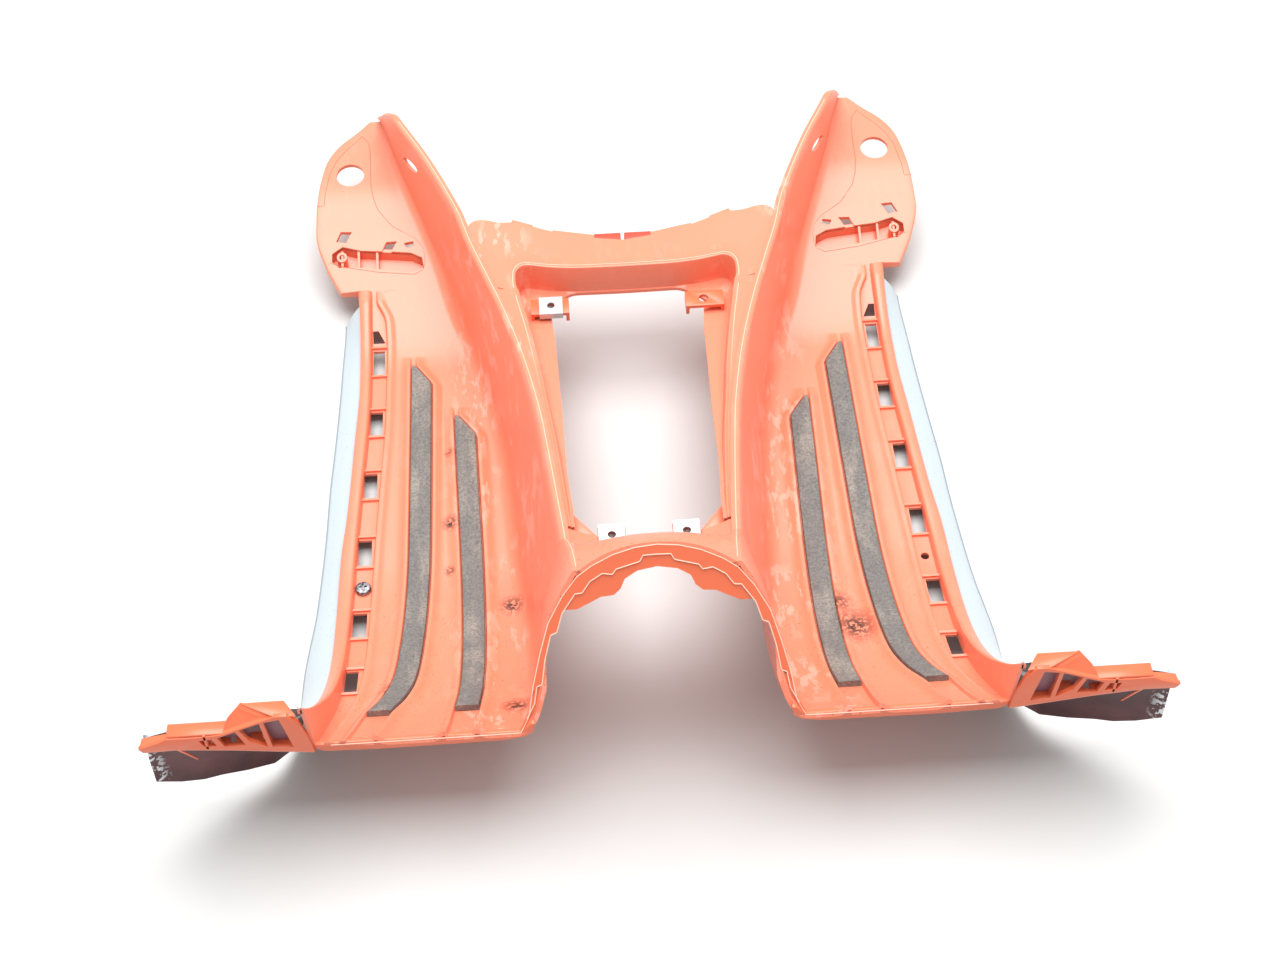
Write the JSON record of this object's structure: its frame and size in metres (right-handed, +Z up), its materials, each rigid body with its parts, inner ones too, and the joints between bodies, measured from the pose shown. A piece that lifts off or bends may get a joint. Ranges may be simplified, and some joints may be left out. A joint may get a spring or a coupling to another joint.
{
  "type": "scooter floorboard",
  "caption": "Moulded scooter floorboard with ribbed footwells, raised centre tunnel with an access opening, rear ears, front wings, side skirts and rubber foot strips.",
  "frame": {"origin": "middle of the part's box on the ground plane, under the lower edges of the side skirts", "axes": "+X to the rider's right when seen from the front joint with the ears far away, the plane x = 0 is the board's middle; +Y to the rear ears, -Y to the front joint; +Z up"},
  "size_m": [0.58, 0.538, 0.184],
  "materials": {
    "panel": "satin",
    "skirt": "satin",
    "strip": "matte",
    "clip": "satin",
    "screw": "satin"
  },
  "bodies": {
    "root": {"floor_panel": "panel", "left_side_skirt": "skirt", "right_side_skirt": "skirt", "left_middle_strip": "strip", "left_inner_strip": "strip", "right_middle_strip": "strip", "right_inner_strip": "strip", "left_rear_clip_nut": "clip", "left_front_clip_nut": "clip", "right_front_clip_nut": "clip", "left_channel_screw": "screw"}
  },
  "joints": []
}
